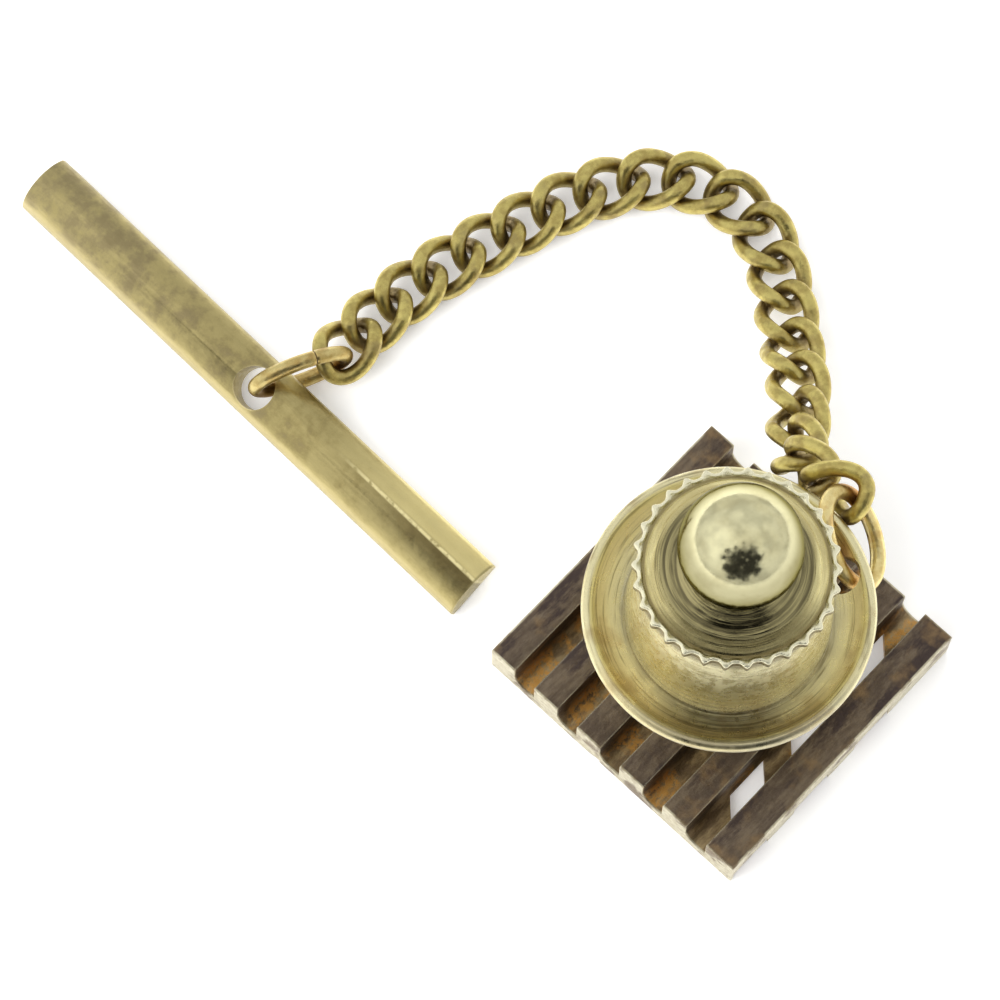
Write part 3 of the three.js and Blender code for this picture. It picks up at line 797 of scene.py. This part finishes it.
def make_flange(material):
    bead_r = FLANGE_RADIUS - BEAD_RADIUS
    dish_r = bead_r - BEAD_RADIUS * 0.8
    dish_z = RIM_Z - SHEET / 2 - 0.05
    mid_r = 4.5
    mid_z = FLOOR_Z + (dish_z - SHEET / 2 - FLOOR_Z) * (mid_r - VALLEY_RADIUS) / (dish_r - VALLEY_RADIUS)
    outline = rounded([
        (FLANGE_BORE, FLOOR_Z),
        (VALLEY_RADIUS, FLOOR_Z, 0.25),
        (dish_r, dish_z - SHEET / 2, 0.06),
        *arc(bead_r, RIM_Z, BEAD_RADIUS, -135, 150, 18),
        (dish_r - 0.2, dish_z + SHEET / 2, 0.12),
        (mid_r, mid_z + SHEET - 0.03, 0.15),
        (VALLEY_RADIUS, FLOOR_Z + SHEET, 0.3),
        (FLANGE_BORE, FLOOR_Z + SHEET),
    ], steps=5)
    piece = turned("flange", outline, 192)
    hole_x = RING_HOLE_AT * math.cos(RING_HOLE_ANGLE)
    hole_y = RING_HOLE_AT * math.sin(RING_HOLE_ANGLE)
    drill = add_hole(piece, (hole_x, hole_y, RIM_Z), RING_HOLE_RADIUS, depth=3, segments=48)
    apply_modifiers(piece)
    bpy.data.objects.remove(drill)
    shade(piece, 50)
    settle(piece, "clutch", "clutch_flange", material)


def make_barrel(material):
    foot = FLOOR_Z + SHEET
    inner_foot = BARREL_FOOT_RADIUS - BARREL_WALL
    inner_top = BARREL_TOP_RADIUS - BARREL_WALL
    band_top = foot + BARREL_BAND
    outline = [
        (inner_foot, foot, 0.02),
        (BARREL_FOOT_RADIUS, foot, 0.03),
        (BARREL_FOOT_RADIUS, band_top, 0.06),
    ]
    steps = 26
    for i in range(1, steps):
        t = i / steps
        z = band_top + (BARREL_TOP_Z - band_top) * t
        groove = 0.018 if i % 2 and i < 9 else 0.0
        r = BARREL_FOOT_RADIUS + (BARREL_TOP_RADIUS - BARREL_FOOT_RADIUS) * t
        outline.append((r - groove, z, 0.03))
    outline += [(BARREL_TOP_RADIUS, BARREL_TOP_Z, 0.02), (inner_top, BARREL_TOP_Z, 0.02)]
    piece = turned("barrel", rounded(outline, steps=3), 192)
    settle(piece, "clutch", "clutch_barrel", material)


def make_cap(material):
    def scallop(r, z, angle):
        weight = min(1.0, max(0.0, (r - CAP_RADIUS + 0.3) / 0.25)) if z > BARREL_TOP_Z - 0.01 else 0.0
        wave = 0.5 * math.cos(SCALLOPS * angle) + 0.12 * math.cos(2 * SCALLOPS * angle)
        return r + SCALLOP_DEPTH * 1.9 * wave * weight

    spigot = BARREL_TOP_RADIUS - BARREL_WALL - 0.05
    outline = rounded([
        (CAP_OPENING, BARREL_TOP_Z - SPIGOT_DEPTH, 0.02),
        (spigot, BARREL_TOP_Z - SPIGOT_DEPTH, 0.02),
        (spigot, BARREL_TOP_Z, 0.005),
        (CAP_RADIUS, BARREL_TOP_Z, 0.05),
        (CAP_RADIUS, CAP_TOP_Z - 0.03, 0.045),
        (CAP_RADIUS - 0.14, CAP_TOP_Z, 0.04),
        (CAP_RADIUS - 0.24, CAP_TOP_Z - 0.07, 0.03),
        (CAP_RADIUS - 0.36, CAP_TOP_Z - 0.06, 0.03),
        (CAP_RADIUS - 0.42, CAP_TOP_Z, 0.02),
        (CAP_RADIUS - 0.62, CAP_TOP_Z + 0.02, 0.02),
        (CAP_RADIUS - 0.66, CAP_TOP_Z + 0.07, 0.02),
        (CAP_OPENING + 0.08, CAP_TOP_Z + 0.12, 0.03),
        (CAP_OPENING, CAP_TOP_Z + 0.1, 0.02),
    ])
    piece = turned("scalloped_cap", outline, SCALLOPS * 12, scallop)
    settle(piece, "clutch", "barrel_cap", material)


def make_knob(material):
    skirt = 9.6
    cage_seat = CAGE_RADIUS + 0.05
    pin_bore = 0.75
    collar_z = CAP_TOP_Z + 0.14
    waist = math.degrees(math.asin(KNOB_WAIST / KNOB_RADIUS)) - 90
    waist_z = KNOB_Z + KNOB_RADIUS * math.sin(math.radians(waist))
    ball = arc(0, KNOB_Z, KNOB_RADIUS, waist, 90, 44)[:-1]
    outline = rounded([
        (0, KNOB_TOP_Z - 0.9),
        (pin_bore, KNOB_TOP_Z - 1.3, 0.1),
        (pin_bore, PIN_TIP_Z + 1.0, 0.05),
        (cage_seat, PIN_TIP_Z + 0.45, 0.05),
        (cage_seat, skirt, 0.02),
        (NECK_RADIUS, skirt, 0.05),
        (NECK_RADIUS, collar_z, 0.01),
        (CAP_OPENING + 0.14, collar_z, 0.01),
        (CAP_OPENING + 0.14, collar_z + 0.05, 0.02),
        (2.4, CAP_TOP_Z + 0.27, 0.04),
        (2.34, CAP_TOP_Z + 0.33, 0.03),
        (1.9, CAP_TOP_Z + 0.5, 0.1),
        (KNOB_WAIST + 0.1, waist_z - 0.08, 0.1),
        *ball,
        (0, KNOB_TOP_Z),
    ])
    piece = turned("ball_knob", outline, 144)
    settle(piece, "knob", "knob", material)


def make_spring(material):
    """The return spring, a coil with its foot at the knob's collar and its head in the clutch."""
    steps = 170
    turn = TAU * SPRING_TURNS * np.linspace(0, 1, steps)
    height = np.linspace(SPRING_LOW_Z, SPRING_HIGH_Z, steps)
    path = np.column_stack([SPRING_RADIUS * np.cos(turn), SPRING_RADIUS * np.sin(turn), height])
    piece = swept("return_coil", path, SPRING_WIRE, 12, closed=False)
    piece.data.materials.append(material)
    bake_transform(piece)
    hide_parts("return_spring")


# ---------- chain and rings ----------
def oval(half_length, half_width, squareness=0.0, twist=0.0, count=240):
    """Points round an oval along X; its two ends lean opposite ways by twist."""
    a = TAU * np.arange(count) / count
    power = 1 - squareness
    x = half_length * np.sign(np.cos(a)) * np.abs(np.cos(a)) ** power
    y = half_width * np.sign(np.sin(a)) * np.abs(np.sin(a)) ** power
    lean = twist * x / half_length
    return np.column_stack([x, y * np.cos(lean), y * np.sin(lean)])


def press_flat(limit):
    """Presses whatever stands further than limit from the link's own plane, as long wear does."""
    soft = 0.09

    def shape(points):
        z = points[:, 2]
        over = np.maximum(np.abs(z) - limit, 0)
        pressed = np.sign(z) * (np.minimum(np.abs(z), limit) + soft * np.tanh(over / soft) * 0.35)
        return np.column_stack([points[:, 0], points[:, 1], pressed])

    return shape


def link_pivots():
    """Where each link swings in the one before it, and the bar ring in the last."""
    names = [f"link_{i:02d}_swing" for i in range(1, LINKS + 1)] + ["bar_ring_swing"]
    return [Vector(JOINTS[name]["pos_m"]) / MM for name in names]


def make_chain(material):
    path = even_loop(oval(LINK_HALF_LENGTH, LINK_HALF_WIDTH, LINK_SQUARENESS, LINK_TWIST), 84)
    template = swept("chain_template", path, LINK_WIRE, 18, shape=press_flat(LINK_FLAT))
    pivots = link_pivots()
    up = Vector((0, 0, 1))
    for i in range(LINKS):
        along = pivots[i + 1] - pivots[i]
        middle = (pivots[i] + pivots[i + 1]) / 2
        mesh = template.data.copy()
        roll = math.radians(FIRST_ROLLS[i]) if i < len(FIRST_ROLLS) else 0.0
        place = basis(middle, along, up.cross(along)) @ Matrix.Rotation(roll, 4, "X")
        mesh.transform(place)
        number = f"{i + 1:02d}"
        piece = bpy.data.objects.new(f"curb_link_{number}", mesh)
        SCENE.collection.objects.link(piece)
        settle(piece, f"link_{number}", f"chain_link_{number}", material)
    bpy.data.objects.remove(template)


def make_ring(name, spec, body, node, material, cut_at):
    """An oval jump ring with its ends butted together at cut_at, an angle round the oval."""
    gap = 0.035
    count = 720
    points = oval(RING_HALF_LENGTH, spec["half_width"], count=count)
    path = even_loop(np.roll(points, -int(count * cut_at / TAU), axis=0), 140)
    path = np.vstack([path, path[:1]])
    first = path[1] - path[0]
    last = path[-2] - path[-1]
    path[0] += first / np.linalg.norm(first) * gap / 2
    path[-1] += last / np.linalg.norm(last) * gap / 2
    radii = np.full(len(path), RING_WIRE)
    radii[[0, -1]] -= gap
    piece = swept(name, path, radii, 20, closed=False)
    piece.data.transform(basis(spec["centre"], spec["u"], spec["v"]))
    piece.data.set_sharp_from_angle(angle=math.radians(50))
    settle(piece, body, node, material)


# ---------- T-bar ----------
def make_bar(material):
    half = BAR_WIDTH / 2
    radius = (half * half + BAR_CROWN * BAR_CROWN) / (2 * BAR_CROWN)
    sweep = math.asin(half / radius)
    centre_z = BAR_EDGE + BAR_CROWN - radius
    section = [(-half, 0.0), (half, 0.0), (half, BAR_EDGE)]
    steps = 24
    for i in range(1, steps):
        a = math.pi / 2 - sweep + 2 * sweep * i / steps
        section.append((radius * math.cos(a), centre_z + radius * math.sin(a)))
    section.append((-half, BAR_EDGE))
    points = [(x, y * BAR_LENGTH, z) for y in (-0.5, 0.5) for x, z in section]
    faces = grid_faces(2, len(section), False, True)
    faces.append(tuple(range(len(section))))
    faces.append(tuple(range(len(section), 2 * len(section))))
    piece = new_piece("half_round_bar", points, faces)
    fix_normals(piece)
    drill = add_hole(piece, (0, BAR_HOLE_SHIFT, 0), BAR_HOLE_RADIUS, depth=4, segments=64)
    add_bevel(piece, 0.08, 30)
    apply_modifiers(piece)
    bpy.data.objects.remove(drill)
    turn = Matrix.Rotation(BAR_HEADING, 4, "Z") @ Matrix.Rotation(BAR_ROLL, 4, "Y")
    place = Matrix.Translation(Vector((*BAR_CENTRE, BAR_BASE_Z)) * MM)
    piece.data.transform(place @ turn)
    shade(piece, 28)
    settle(piece, "bar", "t_bar", material)


# ---------- assembly ----------
casting = casting_material()
steel = steel_material()
chain_brass = chain_material("chain_brass", (0.66, 0.56, 0.19), (0.47, 0.37, 0.12), (0.27, 0.2, 0.1))
ring_brass = chain_material("ring_brass", (0.68, 0.56, 0.24), (0.55, 0.4, 0.14), (0.3, 0.16, 0.05), 0.8)
# the clutch's ring: a copy of the ring brass painted about half as bright again, as painted light
lit_brass = chain_material("lit_brass", (0.95, 0.8, 0.38), (0.8, 0.62, 0.24), (0.48, 0.22, 0.05), 0.8)
make_ornament(casting)
make_pad(casting)
make_pin(steel_material("pin_steel", (0.8, 0.79, 0.75)))
make_bush(steel)
make_flange(flange_material())
make_barrel(barrel_material())
make_cap(cap_material())
make_knob(knob_material())
make_ring("clutch_jump_ring", CLUTCH_RING, "ring", "clutch_ring", lit_brass, math.radians(200))
make_chain(chain_brass)
make_ring("bar_jump_ring", BAR_RING, "bar_ring", "bar_ring", ring_brass, math.radians(70))
make_bar(bar_material())
make_spring(steel)
for inner in ("wedge_cone", "ball_cage", "lock_ball_1", "lock_ball_2", "lock_ball_3"):
    node = frame["nodes"][inner]
    node.data.materials.clear()
    node.data.materials.append(steel)


# ---------- stage ----------
# where the tent is open, as a direction from the object
OPENING = (-0.54, -0.51, 0.67)


def make_floor():
    """The white table the tack lies on."""
    size = 1500
    corners = [(-size, -size, 0), (size, -size, 0), (size, size, 0), (-size, size, 0)]
    floor = new_piece("floor", corners, [(0, 1, 2, 3)], smooth=False)
    material = bpy.data.materials.new("floor_white")
    material.use_nodes = True
    shader = material.node_tree.nodes["Principled BSDF"]
    shader.inputs["Base Color"].default_value = (0.9, 0.9, 0.9, 1)
    shader.inputs["Roughness"].default_value = 1.0
    shader.inputs["Specular IOR Level"].default_value = 0.0
    shader.inputs["Emission Color"].default_value = (1, 1, 1, 1)
    shader.inputs["Emission Strength"].default_value = 0.25
    floor.data.materials.append(material)


def make_world():
    """A white light tent, brighter on one side, with a dark opening beside the lens."""
    world = bpy.data.worlds.new("tent")
    SCENE.world = world
    world.use_nodes = True
    tree = world.node_tree
    coords = tree.nodes.new("ShaderNodeTexCoord").outputs["Generated"]

    def node(kind, inputs, **settings):
        made = tree.nodes.new(kind)
        for key, value in settings.items():
            setattr(made, key, value)
        for key, value in inputs.items():
            if isinstance(value, bpy.types.NodeSocket):
                tree.links.new(value, made.inputs[key])
            else:
                made.inputs[key].default_value = value
        return made

    def span(value, low, high, out_low, out_high):
        inputs = {"Value": value, "From Min": low, "From Max": high, "To Min": out_low, "To Max": out_high}
        return node("ShaderNodeMapRange", inputs, interpolation_type="SMOOTHSTEP").outputs["Result"]

    def toward(direction):
        """1 where the view looks straight along direction, 0 at right angles to it."""
        aim = Vector(direction).normalized()
        dot = node("ShaderNodeVectorMath", {0: coords, 1: aim}, operation="DOT_PRODUCT")
        return dot.outputs["Value"]

    def lobe(direction, low, high, out_low, out_high):
        return span(toward(direction), low, high, out_low, out_high)

    def clouds(scale, low, high, out_low, out_high):
        noise = node("ShaderNodeTexNoise", {"Vector": coords, "Scale": scale, "Detail": 3.0})
        return span(noise.outputs["Fac"], low, high, out_low, out_high)

    def math_node(operation, a, b):
        return node("ShaderNodeMath", {0: a, 1: b}, operation=operation).outputs[0]

    tent = math_node("MULTIPLY", lobe((0, 0, 1), 0.0, 0.9, 0.92, 1.0), clouds(2.4, 0.38, 0.6, 0.76, 1.04))
    tent = math_node("ADD", tent, lobe((-0.62, 0.3, 0.6), 0.62, 0.98, 0.0, 0.3))
    ragged = math_node("ADD", toward(OPENING), clouds(5.0, 0.35, 0.65, -0.07, 0.07))
    opening = span(ragged, 0.81, 0.86, 0.0, 1.0)
    opening = math_node("MULTIPLY", opening, clouds(6.0, 0.6, 0.66, 1.0, 0.35))
    level = math_node("MULTIPLY", tent, math_node("SUBTRACT", 1.0, math_node("MULTIPLY", opening, 0.96)))
    background = tree.nodes["Background"]
    tree.links.new(level, background.inputs["Color"])
    background.inputs["Strength"].default_value = 0.9


def make_light(name, place, aim, size, watts):
    data = bpy.data.lights.new(name, "AREA")
    data.shape = "DISK"
    data.size = size
    data.energy = watts
    light = bpy.data.objects.new(name, data)
    SCENE.collection.objects.link(light)
    light.location = place
    light.rotation_mode = "QUATERNION"
    light.rotation_quaternion = (Vector(aim) - Vector(place)).to_track_quat("-Z", "Y")
    light.visible_glossy = False


make_floor()
make_world()
make_light("key", (-0.3, 0.05, 0.35), (0, 0.01, 0), 0.4, 1.8)
make_light("fill", (0.25, 0.3, 0.3), (0, 0.01, 0), 0.45, 1.0)
SCENE.view_settings.view_transform = "Standard"

bpy.context.view_layer.update()
